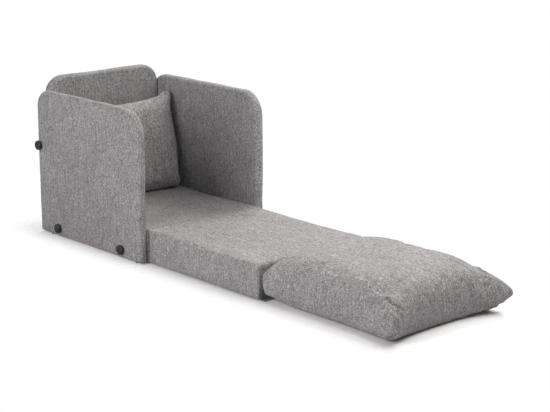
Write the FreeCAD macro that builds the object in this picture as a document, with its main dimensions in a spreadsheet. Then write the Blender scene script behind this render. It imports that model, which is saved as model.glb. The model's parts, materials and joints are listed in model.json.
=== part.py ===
import FreeCAD, Part
import math
import os
import re

import Sketcher
from FreeCAD import Placement, Rotation, Vector

# A chair that folds out into a single bed. Two padded arm panels and a padded back panel stand round a
# fixed base section and are clamped to it by hand knobs. The middle section turns over on the base, and the
# foot cushion follows it on a second hinge and stays level, so that it ends up as the seat of the chair.
# X runs across the chair, -Y is its front and the foot of the bed, Z is up, and the floor is Z = 0.

sizes = {
    # arm panels, seen from the side
    "armDepth": 740,
    "armHeight": 655,
    "armThick": 45,
    "armFrontRound": 122,
    "armRearRound": 88,
    # back panel, seen from the front
    "backThick": 46,
    "backHeight": 704,
    "backRound": 105,
    # upholstery of the panels: board, fabric and the roll of the edge
    "panelEdge": 16,
    "panelBoard": 18,
    "boardInset": 12,
    "coverSkin": 1.5,
    # the three sections of the mattress
    "sectionWide": 600,
    "sectionPitch": 690,
    "sectionHeight": 150,
    "sectionCorner": 14,
    "sectionEdge": 10,
    "sideGap": 5,
    # wooden frame inside the base and middle sections
    "railHigh": 60,
    "railThick": 22,
    "deckThick": 9,
    "liningThick": 1,
    # glides
    "glideTall": 6,
    "glideRadius": 9,
    "glideFlare": 2,
    "glideEdge": 24,
    # fabric hinges
    "leafThick": 1.2,
    "leafHigh": 40,
    "leafInset": 15,
    # foot cushion
    "footLong": 710,
    "footCrown": 192,
    "footWidest": 62,
    "footUnder": 28,
    "footReach": 220,
    "footCorner": 46,
    "footBow": 7,
    "footFullness": 2.4,
    "underFullness": 2,
    # pillow
    "pillowWide": 560,
    "pillowHigh": 450,
    "pillowThick": 150,
    "pillowReach": 165,
    "pillowCorner": 24,
    "pillowBow": 20,
    "pillowTilt": 15,
    "pillowTurn": 6,
    "pillowFullness": 1.5,
    # zip fasteners in the two loose covers
    "zipLong": 420,
    "zipHigh": 12,
    "sliderLong": 14,
    "sliderWide": 9,
    "sliderThick": 1.6,
    # hand knobs, their studs and what these pass through
    "knobRadius": 21,
    "knobThick": 12,
    "knobBevel": 3,
    "neckRadius": 11,
    "neckLong": 5,
    "studRadius": 4,
    "studSeat": 10,
    "studGrip": 14,
    "washerRadius": 12,
    "washerThick": 1.5,
    "nutRadius": 6,
    "nutLong": 18,
    "knobLow": 46,
    "knobFront": 125,
    "knobRear": 588,
    "knobHigh": 405,
    # dowels between the back panel and the base
    "dowelRadius": 5,
    "dowelApart": 360,
    "dowelHigh": 42,
    "dowelDepth": 14,
    # fits
    "fitEase": 0.3,
    "threadEase": 0.15,
    "holeEase": 0.6,
    "fillingEase": 0.7,
}

doc = FreeCAD.newDocument("ChairBed")
sheet = doc.addObject("Spreadsheet::Sheet", "Sizes")
for row, (word, value) in enumerate(sizes.items(), start=1):
    sheet.set(f"A{row}", word)
    sheet.set(f"B{row}", str(value))
    sheet.setAlias(f"B{row}", word)
doc.recompute()

nodes = []


def sized(formula):
    # every word of a formula is a cell of the sheet
    return re.sub(r"([A-Za-z]+)", r"Sizes.\1", formula)


def number(formula):
    return float(sheet.evalExpression(sized(formula)))


def bind(thing, **formulas):
    for name, formula in formulas.items():
        thing.setExpression(name, sized(formula))


def place(thing, at, turn=None):
    if turn is not None:
        thing.Placement = Placement(Vector(), turn)
    for axis, formula in zip("xyz", at):
        thing.setExpression(f"Placement.Base.{axis}", sized(formula))


def keep(node, thing):
    # a piece of the finished chair
    thing.Label = node
    nodes.append(thing)
    return thing


# Lines and planes that the pieces share. The frame's origin is the middle of the unfolded bed.
footBack = "sectionPitch + fitEase / 2"
middleOfBed = f"({footBack} + footLong - armDepth) / 2"
innerSide = "(sectionWide / 2 + sideGap)"
outerSide = f"({innerSide} + armThick)"
seam = "(fitEase / 2 + leafThick)"
hingeLine = f"({middleOfBed})"
footHinge = f"({middleOfBed} - sectionPitch)"
armRear = f"({middleOfBed} + armDepth)"
backFront = f"({armRear} - backThick)"
baseRear = f"({backFront} - fitEase)"
baseHalf = f"({innerSide} - fitEase)"
lining = "(coverSkin + fitEase)"
frameFloor = "(glideTall + liningThick)"
frameTop = f"({frameFloor} + railHigh)"
deckTop = f"({frameTop} + deckThick)"
backMiddle = f"({armRear} - backThick / 2)"
# the frames stay clear of the rounded corners of their covers
trim = "sectionCorner"


def box(name, low, long):
    thing = doc.addObject("Part::Box", name)
    bind(thing, Length=long[0], Width=long[1], Height=long[2])
    place(thing, low)
    return thing


turns = {
    "+x": Rotation(Vector(0, 1, 0), 90),
    "-x": Rotation(Vector(0, 1, 0), -90),
    "+y": Rotation(Vector(1, 0, 0), -90),
}


def rod(name, radius, long, at, way):
    thing = doc.addObject("Part::Cylinder", name)
    bind(thing, Radius=radius, Height=long)
    place(thing, at, turns[way])
    return thing


def group(name, things):
    thing = doc.addObject("Part::Compound", name)
    thing.Links = things
    return thing


def cut(name, base, tools):
    thing = doc.addObject("Part::Cut", name)
    thing.Base = base
    thing.Tool = tools[0] if len(tools) == 1 else group(f"{name}_tools", tools)
    return thing


def ring(name, outer, inner, long, at, way):
    return cut(name, rod(f"{name}_rim", outer, long, at, way), [rod(f"{name}_bore", inner, long, at, way)])


def outline(body, role, wide, tall, rounds):
    # A closed outline from the origin to (wide, tall). Rounds are the radii of its corners, counter-clockwise
    # from the origin, with None for a sharp corner.
    sketch = body.newObject("Sketcher::SketchObject", f"{body.Name}_outline")
    plane = next(item for item in body.Origin.OriginFeatures if item.Role == role)
    sketch.AttachmentSupport = (plane, [""])
    sketch.MapMode = "FlatFace"
    far, top = number(wide), number(tall)
    corners = [Vector(0, 0), Vector(far, 0), Vector(far, top), Vector(0, top)]
    radii = [number(radius) if radius else 0 for radius in rounds]
    for start in range(4):
        end = (start + 1) % 4
        along = (corners[end] - corners[start]).normalize()
        first = corners[start] + along * radii[start]
        last = corners[end] - along * radii[end]
        sketch.addGeometry(Part.LineSegment(first, last), False)
    for line in range(4):
        sketch.addConstraint(Sketcher.Constraint("Vertical" if line % 2 else "Horizontal", line))
    bound = {}
    for corner, radius in enumerate(radii):
        before = (corner - 1) % 4
        if not radius:
            sketch.addConstraint(Sketcher.Constraint("Coincident", before, 2, corner, 1))
            continue
        inward = (Vector(far / 2, top / 2) - corners[corner])
        inward = Vector(math.copysign(radius, inward.x), math.copysign(radius, inward.y))
        circle = Part.Circle(corners[corner] + inward, Vector(0, 0, 1), radius)
        start = math.radians(180 + 90 * corner)
        arc = sketch.addGeometry(Part.ArcOfCircle(circle, start, start + math.pi / 2), False)
        sketch.addConstraint(Sketcher.Constraint("Tangent", before, 2, arc, 1))
        sketch.addConstraint(Sketcher.Constraint("Tangent", arc, 2, corner, 1))
        bound[sketch.addConstraint(Sketcher.Constraint("Radius", arc, radius))] = rounds[corner]
    sketch.addConstraint(Sketcher.Constraint("PointOnObject", 3, 1, -2))
    sketch.addConstraint(Sketcher.Constraint("PointOnObject", 0, 1, -1))
    bound[sketch.addConstraint(Sketcher.Constraint("DistanceX", -1, 1, 1, 1, far))] = wide
    bound[sketch.addConstraint(Sketcher.Constraint("DistanceY", -1, 1, 2, 1, top))] = tall
    for index, formula in bound.items():
        sketch.setExpression(f"Constraints[{index}]", sized(formula))
    return sketch


def slab(name, role, wide, tall, rounds, thick, at, edge=None, rolled=None, how="Fillet"):
    # An outline padded to a thickness, with the edges that rolled(edge) picks rounded or bevelled to a size.
    body = doc.addObject("PartDesign::Body", name)
    sketch = outline(body, role, wide, tall, rounds)
    pad = body.newObject("PartDesign::Pad", f"{name}_pad")
    pad.Profile = sketch
    bind(pad, Length=thick)
    if edge:
        doc.recompute()
        padded = pad.Shape
        picked = [f"Edge{n}" for n, item in enumerate(padded.Edges, start=1) if rolled(item, padded.BoundBox)]
        roll = body.newObject(f"PartDesign::{how}", f"{name}_roll")
        roll.Base = (pad, picked)
        bind(roll, **{"Radius" if how == "Fillet" else "Size": edge})
    place(body, at)
    return body


def turned(name, points):
    # a closed profile of straight edges turned about the Z axis
    body = doc.addObject("PartDesign::Body", name)
    sketch = body.newObject("Sketcher::SketchObject", f"{name}_profile")
    plane = next(item for item in body.Origin.OriginFeatures if item.Role == "XZ_Plane")
    sketch.AttachmentSupport = (plane, [""])
    sketch.MapMode = "FlatFace"
    spots = [Vector(number(x), number(y)) for x, y in points]
    last = len(spots)
    for edge in range(last):
        sketch.addGeometry(Part.LineSegment(spots[edge], spots[(edge + 1) % last]), False)
    for edge, (x, y) in enumerate(points):
        sketch.addConstraint(Sketcher.Constraint("Coincident", edge, 2, (edge + 1) % last, 1))
        for way, axis, formula in (("DistanceX", -2, x), ("DistanceY", -1, y)):
            if formula == "0":
                sketch.addConstraint(Sketcher.Constraint("PointOnObject", edge, 1, axis))
                continue
            index = sketch.addConstraint(Sketcher.Constraint(way, -1, 1, edge, 1, number(formula)))
            sketch.setExpression(f"Constraints[{index}]", sized(formula))
    spin = body.newObject("PartDesign::Revolution", f"{name}_turning")
    spin.Profile = sketch
    spin.ReferenceAxis = (sketch, ["V_Axis"])
    spin.Angle = 360
    return body


def near(value, target, within=0.01):
    return abs(value - target) < within


def faceLoops(axis):
    # the loops round the two broad faces of a panel, apart from their bottom edges
    def picks(edge, bounds):
        spread = [getattr(corner.Point, axis) for corner in edge.Vertexes]
        onFace = near(max(spread), min(spread))
        atBottom = all(near(corner.Point.z, bounds.ZMin) for corner in edge.Vertexes)
        return onFace and not atBottom
    return picks


def topLoop(edge, bounds):
    return all(near(corner.Point.z, bounds.ZMax) for corner in edge.Vertexes)


def armForm(name, side, inset, how="Fillet"):
    # the body of an arm panel, drawn in by an inset on every side but the bottom
    left = f"0 - {outerSide}" if side == "left" else innerSide
    rounds = [None, None, f"armRearRound - {inset}", f"armFrontRound - {inset}"]
    return slab(
        name, "YZ_Plane", f"armDepth - 2 * {inset}", f"armHeight - glideTall - {inset}", rounds,
        f"armThick - 2 * {inset}", (f"{left} + {inset}", f"{hingeLine} + {inset}", "glideTall"),
        f"panelEdge - {inset}", faceLoops("x"), how,
    )


def backForm(name, inset, how="Fillet"):
    rounds = [None, None, f"backRound - {inset}", f"backRound - {inset}"]
    return slab(
        name, "XZ_Plane", f"2 * {baseHalf} - 2 * {inset}", f"backHeight - glideTall - {inset}", rounds,
        f"backThick - 2 * {inset}", (f"{inset} - {baseHalf}", f"{armRear} - {inset}", "glideTall"),
        f"panelEdge - {inset}", faceLoops("y"), how,
    )


# Places of the hand knobs: distance behind the hinge line, height, and what the stud is screwed into
knobPlaces = {
    "front": (f"{hingeLine} + knobFront", "knobLow"),
    "rear": (f"{hingeLine} + knobRear", "knobLow"),
    "upper": (backMiddle, "knobHigh"),
}


def studHoles(name, side, low, long, radius, which=knobPlaces):
    # holes for the studs of one side, from a distance off the middle outwards
    holes = []
    for spot in which:
        y, z = knobPlaces[spot]
        x, way = (low, "+x") if side == "right" else (f"0 - ({low})", "-x")
        holes.append(rod(f"{name}_{spot}_hole", radius, long, (x, y, z), way))
    return holes


def glides(name, spots):
    discs = []
    for count, (x, y) in enumerate(spots, start=1):
        disc = doc.addObject("Part::Cone", f"{name}_disc_{count}")
        bind(disc, Radius1="glideRadius - glideFlare", Radius2="glideRadius", Height="glideTall")
        place(disc, (x, y, "0"))
        discs.append(disc)
    return keep(name, group(name, discs))


def makeArm(side):
    boardLeft = "panelBoard / 2"
    middle = f"({innerSide} + armThick / 2)"
    x = f"0 - {middle}" if side == "left" else middle
    hole = "studRadius + holeEase"

    def boardForm(name, ease):
        rounds = [None, None, f"armRearRound - boardInset + {ease}", f"armFrontRound - boardInset + {ease}"]
        return slab(
            name, "YZ_Plane", f"armDepth - 2 * boardInset + 2 * {ease}",
            f"armHeight - glideTall - boardInset + {ease}", rounds, f"panelBoard + 2 * {ease}",
            (f"{x} - {boardLeft} - {ease}", f"{hingeLine} + boardInset - {ease}", "glideTall"),
        )

    def holes(name):
        return studHoles(name, side, innerSide, "armThick", hole)

    cover = f"{side}_arm_cover"
    shell = [armForm(f"{cover}_inside", side, "coverSkin")]
    keep(cover, cut(cover, armForm(f"{cover}_outside", side, "0"), shell + holes(cover)))
    foam = f"{side}_arm_foam"
    pocket = [boardForm(f"{foam}_pocket", "fitEase")]
    keep(foam, cut(foam, armForm(f"{foam}_form", side, lining, "Chamfer"), pocket + holes(foam)))
    board = f"{side}_arm_board"
    keep(board, cut(board, boardForm(f"{board}_form", "0"), holes(board)))
    glides(f"{side}_arm_glides", [(x, f"{hingeLine} + 2 * glideEdge"), (x, f"{armRear} - 3 * glideEdge")])


def makeBack():
    hole = "studRadius + holeEase"
    boardHalf = f"({baseHalf} - boardInset)"
    boardRear = f"({backMiddle} + panelBoard / 2)"

    def boardForm(name, ease):
        radius = f"backRound - boardInset + {ease}"
        return slab(
            name, "XZ_Plane", f"2 * {boardHalf} + 2 * {ease}",
            f"backHeight - glideTall - boardInset + {ease}", [None, None, radius, radius],
            f"panelBoard + 2 * {ease}",
            (f"0 - {boardHalf} - {ease}", f"{boardRear} + {ease}", "glideTall"),
        )

    def sideHoles(name, low, radius):
        return [
            rod(f"{name}_{side}_side_hole", radius, f"{baseHalf} - ({low})", (x, backMiddle, "knobHigh"), way)
            for side, x, way in (("right", low, "+x"), ("left", f"0 - ({low})", "-x"))
        ]

    def dowelHoles(name):
        front = f"{backFront} - fitEase"
        long = f"{backMiddle} - panelBoard / 2 + dowelDepth - ({front})"
        return dowelRods(name, front, long, "dowelRadius + threadEase")

    nutEnd = f"{boardHalf} - nutLong - holeEase"
    shell = [backForm("back_cover_inside", "coverSkin")]
    holes = sideHoles("back_cover", f"{boardHalf} - nutLong", hole) + dowelHoles("back_cover")
    keep("back_cover", cut("back_cover", backForm("back_cover_outside", "0"), shell + holes))
    pocket = [boardForm("back_foam_pocket", "fitEase")]
    holes = sideHoles("back_foam", f"{boardHalf} - nutLong", hole) + dowelHoles("back_foam")
    keep("back_foam", cut("back_foam", backForm("back_foam_form", lining, "Chamfer"), pocket + holes))
    holes = sideHoles("back_board", nutEnd, "nutRadius + threadEase") + dowelHoles("back_board")
    keep("back_board", cut("back_board", boardForm("back_board_form", "0"), holes))
    half = f"{baseHalf} - 4 * glideEdge"
    glides("back_glides", [(f"0 - ({half})", backMiddle), (half, backMiddle)])


def dowelRods(name, front, long, radius):
    return [
        rod(f"{name}_{side}_dowel", radius, long, (x, front, "dowelHigh"), "+y")
        for side, x in (("left", "0 - dowelApart / 2"), ("right", "dowelApart / 2"))
    ]


def makeSection(name, half, front, rear):
    # a framed section of the mattress between two upright planes: rails, deck, foam, lining, cover and glides
    deep = f"({rear} - ({front}))"

    def block(part, inset, floor):
        rounds = [f"sectionCorner - {inset}"] * 4
        return slab(
            part, "XY_Plane", f"2 * {half} - 2 * {inset}", f"{deep} - 2 * {inset}", rounds,
            f"sectionHeight - {inset} - {floor}", (f"{inset} - {half}", f"{front} + {inset}", floor),
            f"sectionEdge - {inset}", topLoop,
        )

    base = name == "base"
    coverHoles = []
    if base:
        for side in ("left", "right"):
            coverHoles += studHoles(f"{name}_cover_{side}", side, f"{baseHalf} - 3 * coverSkin",
                                    "4 * coverSkin", "studRadius + holeEase", ("front", "rear"))
        coverHoles += dowelRods("base_cover", f"{rear} - 3 * coverSkin", "4 * coverSkin",
                                "dowelRadius + threadEase")
    cover = f"{name}_cover"
    shell = [block(f"{cover}_inside", "coverSkin", "glideTall")]
    keep(cover, cut(cover, block(f"{cover}_outside", "0", "glideTall"), shell + coverHoles))
    foam = f"{name}_foam"
    keep(foam, block(foam, lining, deckTop))

    inside = f"({half} - {lining})"
    low = f"({front} + {lining})"
    long = f"({deep} - 2 * {lining})"
    for side in ("left", "right"):
        rail = f"{name}_{side}_rail"
        x = f"0 - {inside}" if side == "left" else f"{inside} - railThick"
        solid = box(f"{rail}_bar" if base else rail, (x, f"{low} + {trim}", frameFloor),
                    ("railThick", f"{long} - 2 * {trim}", "railHigh"))
        if base:
            drilled = studHoles(rail, side, f"{inside} - railThick", "railThick", "nutRadius + threadEase",
                                ("front", "rear"))
            solid = cut(rail, solid, drilled)
        keep(rail, solid)
    for end, y in (("front", f"{low} + {trim}"), ("rear", f"{low} + {long} - railThick - {trim}")):
        rail = f"{name}_{end}_rail"
        plain = not (base and end == "rear")
        solid = box(rail if plain else f"{rail}_bar", (f"railThick - {inside}", y, frameFloor),
                    (f"2 * {inside} - 2 * railThick", "railThick", "railHigh"))
        if not plain:
            solid = cut(rail, solid, dowelRods(rail, y, "railThick", "dowelRadius + threadEase"))
        keep(rail, solid)
    deck = f"{name}_deck"
    keep(deck, box(deck, (f"0 - {inside}", f"{low} + {trim}", frameTop),
                   (f"2 * {inside}", f"{long} - 2 * {trim}", "deckThick")))
    sheetOf = f"{name}_lining"
    keep(sheetOf, box(sheetOf, (f"{trim} - {inside}", f"{low} + {trim}", "glideTall"),
                      (f"2 * {inside} - 2 * {trim}", f"{long} - 2 * {trim}", "liningThick")))
    ends = [f"{front} + glideEdge", f"{rear} - glideEdge"]
    sides = [f"glideEdge - {half}", f"{half} - glideEdge"]
    glides(f"{name}_glides", [(x, y) for y in ends for x in sides])


def leaf(node, y, z, high):
    # one half of a fabric hinge, sewn flat to an upright face
    return keep(node, box(node, ("leafInset - sectionWide / 2", y, z),
                          ("sectionWide - 2 * leafInset", "leafThick", high)))


# A soft form is lofted through level outlines. Each has four sides that bow inwards between rounded corners.
def softOutline(halfWide, halfLong, corner, bow, level):
    x, y = halfWide - corner, halfLong - corner
    slant = corner * math.sqrt(0.5)
    quarter = [
        (Vector(halfWide, -y, level), Vector(halfWide - bow, 0, level), Vector(halfWide, y, level)),
        (Vector(halfWide, y, level), Vector(x + slant, y + slant, level), Vector(x, halfLong, level)),
        (Vector(x, halfLong, level), Vector(0, halfLong - bow, level), Vector(-x, halfLong, level)),
        (Vector(-x, halfLong, level), Vector(-x - slant, y + slant, level), Vector(-halfWide, y, level)),
    ]
    around = [[Vector(point.x, point.y, level) for point in points] for points in quarter]
    opposite = [[Vector(-point.x, -point.y, level) for point in points] for points in quarter]
    return Part.Wire([Part.Arc(*points).toShape() for points in around + opposite])


def swell(part, power):
    # how far a padded face draws in at a share of its rise
    return 1 - (1 - part ** power) ** (1 / power)


leastCorner = 0.25  # share of a corner's radius that is left however far the outline draws in


def loft(halfWide, halfLong, corner, bow, levels):
    wires = []
    for level, inset in levels:
        tight = max(leastCorner, 1 - inset / min(halfWide, halfLong))
        wires.append(softOutline(halfWide - inset, halfLong - inset, corner * tight, bow * tight, level))
    return Part.makeLoft(wires, True, True)


# shares of the rise at which a soft form has an outline
underSteps = (1, 0.9, 0.7, 0.45, 0.2, 0)
crownSteps = (0.2, 0.38, 0.54, 0.68, 0.8, 0.89, 0.95, 0.985, 1)


def footForm(shrink):
    # flat underneath, rolled at its lower edge, widest low down and crowned on top
    floor, widest, crown = shrink, number("footWidest"), number("footCrown") - shrink
    under, reach = number("footUnder"), number("footReach")
    levels = []
    for part in underSteps:
        levels.append((widest - (widest - floor) * part, under * swell(part, number("underFullness"))))
    for part in crownSteps:
        levels.append((widest + (crown - widest) * part, reach * swell(part, number("footFullness"))))
    return loft(
        number("sectionWide") / 2 - shrink, number("footLong") / 2 - shrink, number("footCorner"),
        number("footBow"), levels,
    )


def pillowForm(shrink):
    # two domed faces that meet at the seam, with the corners left as points
    half = number("pillowThick") / 2 - shrink
    reach = number("pillowReach")
    rise = [(half * part, reach * swell(part, number("pillowFullness"))) for part in crownSteps]
    levels = [(-level, inset) for level, inset in reversed(rise)] + [(0, 0)] + rise
    shape = loft(
        number("pillowWide") / 2 - shrink, number("pillowHigh") / 2 - shrink, number("pillowCorner"),
        number("pillowBow"), levels,
    )
    shape.rotate(Vector(), Vector(1, 0, 0), 90)
    return shape


def feature(name, shape, where):
    thing = doc.addObject("Part::Feature", name)
    thing.Shape = shape
    thing.Placement = where.multiply(shape.Placement)
    return thing


def sideDepth(halfSpan, bow, off):
    # how far a bowed side lies inside its corners, at a distance off its middle
    radius = (halfSpan ** 2 + bow ** 2) / (2 * bow)
    return bow - radius + math.sqrt(radius ** 2 - off ** 2)


def looseCover(name, filling, form, where, zipLow, zipSize, slider):
    # a cover with a filling inside, closed by a zip that lies in the cover's own thickness
    skin = number("coverSkin")
    ease = Vector(1, 1, 1) * number("fitEase")
    shell = form(0).cut(form(skin))
    tape = Part.makeBox(*zipSize, zipLow)
    slot = Part.makeBox(*(zipSize + ease * 2), zipLow - ease)
    keep(f"{name}_cover", feature(f"{name}_cover", shell.cut(slot), where))
    keep(f"{name}_zip", feature(f"{name}_zip", shell.common(tape), where))
    keep(f"{name}_zip_slider", feature(f"{name}_zip_slider", slider, where))
    keep(f"{name}_{filling}", feature(f"{name}_{filling}", form(skin + number("fillingEase")), where))


# the front leaf of the lower hinge reaches in under the cushion, almost to where this touches the floor
leafUnder = "(footUnder * 8 / 9)"


def makeFoot():
    middle = -number(footBack) - number("footLong") / 2 + number(middleOfBed)
    where = Placement(Vector(0, middle, 0), Rotation())
    size = Vector(number("zipLong"), number("footBow") + 4 * number("coverSkin"), number("zipHigh"))
    # the tape lies in the rear wall at its widest level
    low = Vector(-size.x / 2, number("footLong") / 2 - size.y, number("footWidest") - size.z / 2)
    parked = size.x / 4 + number("sliderLong")
    depth = sideDepth(number("sectionWide / 2 - footCorner"), number("footBow"), parked)
    slider = Part.makeBox(*(number(word) for word in ("sliderLong", "sliderThick", "sliderWide")), Vector(
        -parked, number("footLong / 2 + fitEase") - depth, number("footWidest - sliderWide / 2"),
    ))
    looseCover("foot", "core", footForm, where, low, size, slider)
    keep("foot_hinge_front_leaf", box("foot_hinge_front_leaf", (
        "leafInset - sectionWide / 2", f"{footHinge} - fitEase / 2 - {leafUnder}", "0",
    ), ("sectionWide - 2 * leafInset", leafUnder, "leafThick")))


def makePillow(seat, back):
    # lowered onto the seat and then pushed back against the panel, with a small gap to each
    turn = Rotation(Vector(0, 0, 1), -number("pillowTurn"))
    lean = Rotation(Vector(1, 0, 0), -number("pillowTilt"))
    trial = Placement(Vector(0, number(backFront) - number("pillowHigh"), number("armHeight")), turn * lean)
    form = pillowForm(0)
    form.Placement = trial.multiply(form.Placement)
    ease = number("fitEase")
    drop = Vector(0, 0, form.distToShape(seat.Shape)[0] - ease)
    form.translate(-drop)
    push = Vector(0, form.distToShape(back.Shape)[0] - ease, 0)
    where = Placement(trial.Base + push - drop, trial.Rotation)
    size = Vector(number("zipLong"), number("zipHigh"), number("pillowBow") + 4 * number("coverSkin"))
    low = Vector(-size.x / 2, -size.y / 2, -number("pillowHigh") / 2)
    parked = size.x / 4
    depth = sideDepth(number("pillowWide / 2 - pillowCorner"), number("pillowBow"), parked)
    slider = Part.makeBox(*(number(word) for word in ("sliderLong", "sliderWide", "sliderThick")), Vector(
        -parked, -number("sliderWide / 2"), depth - number("pillowHigh / 2 + fitEase + sliderThick"),
    ))
    looseCover("pillow", "filling", pillowForm, where, low, size, slider)


def makeKnob(side, spot):
    y, z = knobPlaces[spot]
    way = "+x" if side == "right" else "-x"
    sign = "" if side == "right" else "0 - "
    foot = f"({outerSide} + washerThick)"
    name = f"{side}_{spot}_knob"
    face = "neckLong + knobThick"
    bore = "studRadius + threadEase"
    profile = [
        (bore, "0"), ("neckRadius", "0"), ("neckRadius", "neckLong"), ("knobRadius", "neckLong"),
        ("knobRadius", f"{face} - knobBevel"), ("knobRadius - 2 * knobBevel", face), ("0", face),
        ("0", "studSeat"), (bore, "studSeat"),
    ]
    body = turned(name, profile)
    place(body, (f"{sign}{foot}", y, z), turns[way])
    keep(name, body)

    root = f"({outerSide} + washerThick + studSeat)"
    stud = f"{side}_{spot}_stud"
    lower = f"({innerSide} - {lining} - fitEase - studGrip)"
    if spot == "upper":
        lower = f"({baseHalf} - boardInset - studGrip)"
    start = lower if side == "right" else f"0 - {lower}"
    keep(stud, rod(stud, "studRadius", f"{root} - {lower}", (start, y, z), way))


def makeFasteners():
    washers = []
    nuts = []
    for side, sign, way in (("left", "0 - ", "-x"), ("right", "", "+x")):
        for spot, (y, z) in knobPlaces.items():
            washers.append(ring(f"{side}_{spot}_washer", "washerRadius", "studRadius + holeEase",
                                "washerThick", (f"{sign}{outerSide}", y, z), way))
            deep = f"({baseHalf} - {lining} - nutLong)"
            if spot == "upper":
                deep = f"({baseHalf} - boardInset - nutLong)"
            nuts.append(ring(f"{side}_{spot}_nut", "nutRadius", "studRadius + threadEase", "nutLong",
                             (f"{sign}{deep}", y, z), way))
    keep("knob_washers", group("knob_washers", washers))
    keep("insert_nuts", group("insert_nuts", nuts))
    front = f"{baseRear} - {lining} - {trim} - railThick"
    long = f"{backMiddle} - panelBoard / 2 + dowelDepth - fitEase - ({front})"
    keep("back_dowels", group("back_dowels", dowelRods("back_dowels", front, long, "dowelRadius")))


for side in ("left", "right"):
    makeArm(side)
makeBack()
makeSection("base", baseHalf, f"({hingeLine} + {seam})", baseRear)
makeSection("middle", "(sectionWide / 2)", f"({footHinge} + {seam})", f"({hingeLine} - {seam})")
leaf("seat_hinge_rear_leaf", f"{hingeLine} + fitEase / 2", "sectionHeight - leafHigh", "leafHigh")
leaf("seat_hinge_front_leaf", f"{hingeLine} - {seam}", "sectionHeight - leafHigh", "leafHigh")
leaf("foot_hinge_rear_leaf", f"{footHinge} + fitEase / 2", "0", "leafHigh")
makeFoot()
for side in ("left", "right"):
    for spot in knobPlaces:
        makeKnob(side, spot)
makeFasteners()
doc.recompute()
makePillow(doc.base_cover, doc.back_cover)
doc.recompute()

for thing in doc.Objects:
    if {"Invalid", "Error"} & set(thing.State):
        raise RuntimeError(f"{thing.Label} failed: {thing.State}")
os.makedirs("parts", exist_ok=True)
for thing in nodes:
    if thing.Shape.isNull() or not thing.Shape.isValid():
        raise RuntimeError(f"{thing.Label} has no valid shape")
for thing in nodes:
    thing.Shape.exportStep(f"parts/{thing.Label}.step")
print(len(nodes), "pieces written")
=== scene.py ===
import json
import math

import bmesh
import bpy
import numpy as np
from mathutils import Matrix, Vector, noise


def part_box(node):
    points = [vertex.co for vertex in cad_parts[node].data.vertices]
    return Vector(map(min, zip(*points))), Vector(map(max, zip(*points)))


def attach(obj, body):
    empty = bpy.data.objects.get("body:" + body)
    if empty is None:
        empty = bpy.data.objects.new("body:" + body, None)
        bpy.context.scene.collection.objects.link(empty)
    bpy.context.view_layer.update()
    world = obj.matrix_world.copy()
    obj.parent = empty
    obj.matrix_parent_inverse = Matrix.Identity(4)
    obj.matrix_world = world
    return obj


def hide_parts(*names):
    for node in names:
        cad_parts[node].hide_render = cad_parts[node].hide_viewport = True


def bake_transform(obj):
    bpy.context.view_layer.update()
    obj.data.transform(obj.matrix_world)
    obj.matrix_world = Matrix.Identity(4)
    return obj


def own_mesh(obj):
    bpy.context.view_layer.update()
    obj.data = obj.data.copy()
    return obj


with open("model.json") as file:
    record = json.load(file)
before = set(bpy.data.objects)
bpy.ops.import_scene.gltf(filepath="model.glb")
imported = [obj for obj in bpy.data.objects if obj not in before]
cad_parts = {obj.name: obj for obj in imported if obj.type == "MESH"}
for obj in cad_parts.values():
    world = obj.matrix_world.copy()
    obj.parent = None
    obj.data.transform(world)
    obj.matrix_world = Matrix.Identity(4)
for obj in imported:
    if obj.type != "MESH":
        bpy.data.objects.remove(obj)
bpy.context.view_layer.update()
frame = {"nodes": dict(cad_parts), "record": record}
nodes = frame["nodes"]
print("frame loaded:", len(nodes), "parts")


class Signal:
    # the output of a shader node; sums and products of signals add Math nodes
    def __init__(self, tree, socket=None):
        self.tree = tree
        self.socket = socket

    def node(self, kind, settings=None, inputs=None, output=0):
        made = self.tree.nodes.new(kind)
        for name, value in (settings or {}).items():
            if name == "stops":
                ramp = made.color_ramp
                while len(ramp.elements) < len(value):
                    ramp.elements.new(0.5)
                for stop, (place, colour) in zip(ramp.elements, value):
                    stop.position = place
                    stop.color = (*colour, 1)
            else:
                setattr(made, name, value)
        for name, value in (inputs or {}).items():
            if isinstance(value, Signal):
                self.tree.links.new(value.socket, made.inputs[name])
            else:
                made.inputs[name].default_value = value
        return Signal(self.tree, made.outputs[output] if made.outputs else None)

    def maths(self, operation, *others):
        values = {place: value for place, value in enumerate((self, *others))}
        return self.node("ShaderNodeMath", {"operation": operation}, values)

    def __add__(self, other):
        return self.maths("ADD", other)

    __radd__ = __add__

    def __mul__(self, other):
        return self.maths("MULTIPLY", other)

    __rmul__ = __mul__

    def __sub__(self, other):
        return self.maths("SUBTRACT", other)

    def __rsub__(self, other):
        return (self * -1) + other

    def __truediv__(self, other):
        return self.maths("DIVIDE", other)

    def __gt__(self, other):
        return self.maths("GREATER_THAN", other)

    def floor(self):
        return self.maths("FLOOR")

    def fraction(self):
        return self.maths("FRACT")

    def size(self):
        return self.maths("ABSOLUTE")

    def smooth(self, low, high):
        settings = {"interpolation_type": "SMOOTHSTEP"}
        return self.node("ShaderNodeMapRange", settings, {"Value": self, "From Min": low, "From Max": high})

    def between(self, low, high):
        # low where this signal is 0, high where it is 1
        return self * (high - low) + low

    def blend(self, first, second):
        # colours first and second mixed by this signal
        return self.node("ShaderNodeMix", {"data_type": "RGBA"}, {0: self, 6: first, 7: second}, 2)


def grey(value, tint=(1, 1, 1)):
    return tuple(value * share for share in tint) + (1,)


def point(start, x, y, z):
    return start.node("ShaderNodeCombineXYZ", {}, {"X": x, "Y": y, "Z": z})


def placeOf(start):
    return start.node("ShaderNodeTexCoord", {}, {}, "Object")


def noiseAt(start, place, scale, detail, roughness=0.5):
    return start.node("ShaderNodeTexNoise", {}, {
        "Vector": place, "Scale": scale, "Detail": detail, "Roughness": roughness,
    })


def newMaterial(name):
    material = bpy.data.materials.new(name)
    material.use_nodes = True
    tree = material.node_tree
    tree.nodes.clear()
    return material, Signal(tree)


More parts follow.
